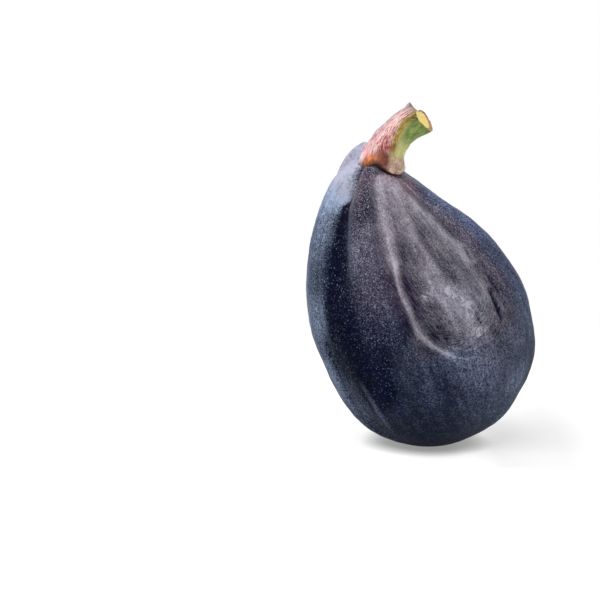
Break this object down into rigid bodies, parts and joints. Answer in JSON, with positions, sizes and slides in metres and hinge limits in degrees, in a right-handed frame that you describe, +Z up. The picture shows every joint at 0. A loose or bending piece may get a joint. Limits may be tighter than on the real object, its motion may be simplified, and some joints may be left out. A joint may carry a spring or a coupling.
{
  "type": "fresh fig",
  "caption": "Whole dark-skinned fresh fig, pear-shaped with soft ribs, one flattened cheek and a bent cut stem; it stands by itself on its base.",
  "frame": {"origin": "bottom centre of the fig's bounding box, on the surface it stands on", "axes": "+Z up; the front, with the flattened cheek, faces -Y; +X to its right, the way the stem bends"},
  "size_m": [0.0466, 0.0452, 0.0709],
  "materials": {
    "skin": "satin",
    "stem": "matte",
    "scales": "matte"
  },
  "bodies": {
    "root": {"fruit": "skin", "stem": "stem", "ostiole_scales": "scales"}
  },
  "joints": []
}
